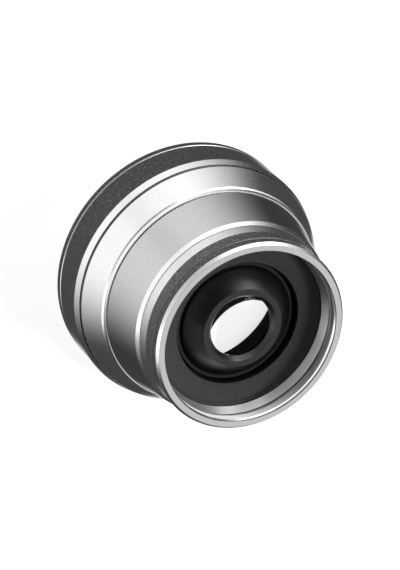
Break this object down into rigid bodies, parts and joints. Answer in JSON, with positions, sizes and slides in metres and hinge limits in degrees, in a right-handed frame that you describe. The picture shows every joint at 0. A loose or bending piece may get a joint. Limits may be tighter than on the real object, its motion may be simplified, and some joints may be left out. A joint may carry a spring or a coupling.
{
  "type": "teleconverter lens",
  "caption": "Screw-on afocal tele converter: stepped, tapered aluminium barrel with a female mount thread behind and a filter thread in front.",
  "frame": {"origin": "centre of the front rim's flat face, on the optical axis", "axes": "+Z along the optical axis from the front rim to the rear mount; the front rim lies on z = 0"},
  "size_m": [0.07, 0.07, 0.0463],
  "materials": {
    "satin_aluminium": "bead-blasted and anodised, satin",
    "turned_aluminium": "fine turned",
    "black_anodised": "matte black anodised",
    "gloss_black": "gloss black",
    "optical_glass": "polished and coated",
    "spring_steel": "blackened steel screws",
    "shim_brass": "rolled"
  },
  "bodies": {
    "root": {"front_trim_ring": "satin_aluminium", "front_barrel": "satin_aluminium", "cone_barrel": "satin_aluminium", "rear_barrel": "satin_aluminium", "rear_mount_ring": "turned_aluminium", "rear_shield_ring": "black_anodised", "rear_bezel": "gloss_black", "rear_cell": "black_anodised", "rear_lens": "optical_glass", "rear_lens_seat": "black_anodised", "front_bezel": "black_anodised", "front_retaining_ring": "black_anodised", "front_lens": "optical_glass", "front_spacer": "black_anodised", "doublet_front_lens": "optical_glass", "doublet_rear_lens": "optical_glass", "front_cell": "black_anodised", "focus_shim": "shim_brass", "light_stop": "black_anodised", "inner_barrel": "black_anodised", "cell_screws": "spring_steel", "mount_lock_screws": "spring_steel"}
  },
  "joints": []
}
